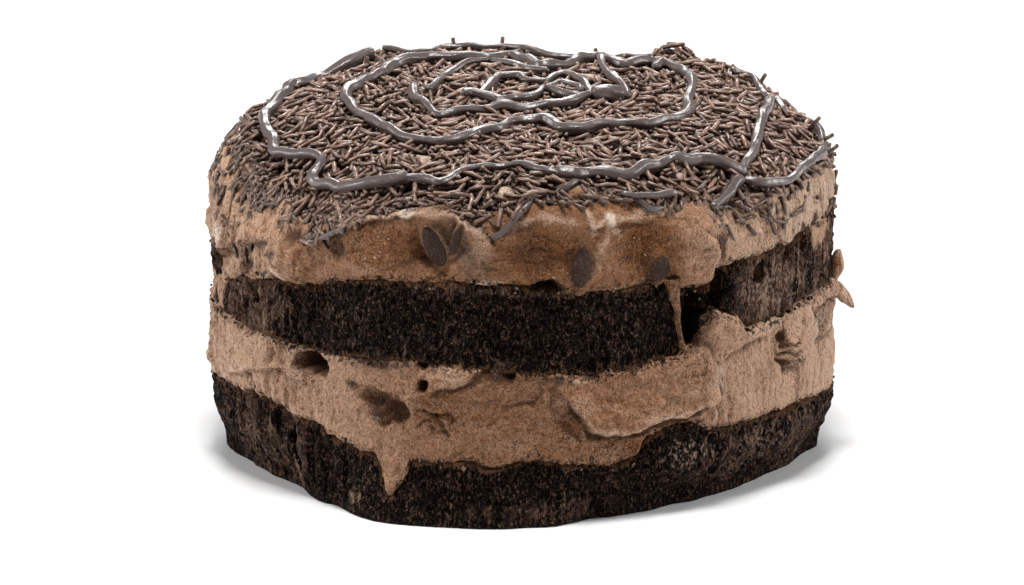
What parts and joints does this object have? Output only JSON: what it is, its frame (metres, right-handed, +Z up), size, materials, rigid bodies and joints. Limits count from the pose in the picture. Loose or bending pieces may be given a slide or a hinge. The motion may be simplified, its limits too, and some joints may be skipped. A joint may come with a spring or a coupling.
{
  "type": "ice cream cake",
  "caption": "Round layered ice cream cake: dark sponge and chocolate ice cream in turn, with a domed top under sprinkles and spiral drizzle.",
  "frame": {"origin": "middle of the flat underside of the bottom sponge", "axes": "+Z up through the middle of the cake, -Y towards the front where the cream is drawn down most roughly"},
  "size_m": [0.1772, 0.1795, 0.1042],
  "materials": {
    "sponge": "dark open crumb, dull and dry",
    "ice_cream": "soft chocolate ice cream, dragged and slightly wet",
    "chocolate": "dark chocolate chips with a soft shine",
    "sprinkles": "brown chocolate sprinkles with a satin face",
    "drizzle": "dark chocolate drizzle with a soft gloss"
  },
  "bodies": {
    "root": {"sponge_bottom": "sponge", "ice_cream_lower": "ice_cream", "sponge_middle": "sponge", "ice_cream_upper": "ice_cream", "chocolate_chip_1": "chocolate", "chocolate_chip_2": "chocolate", "chocolate_chip_3": "chocolate", "chocolate_chip_4": "chocolate"}
  },
  "joints": []
}
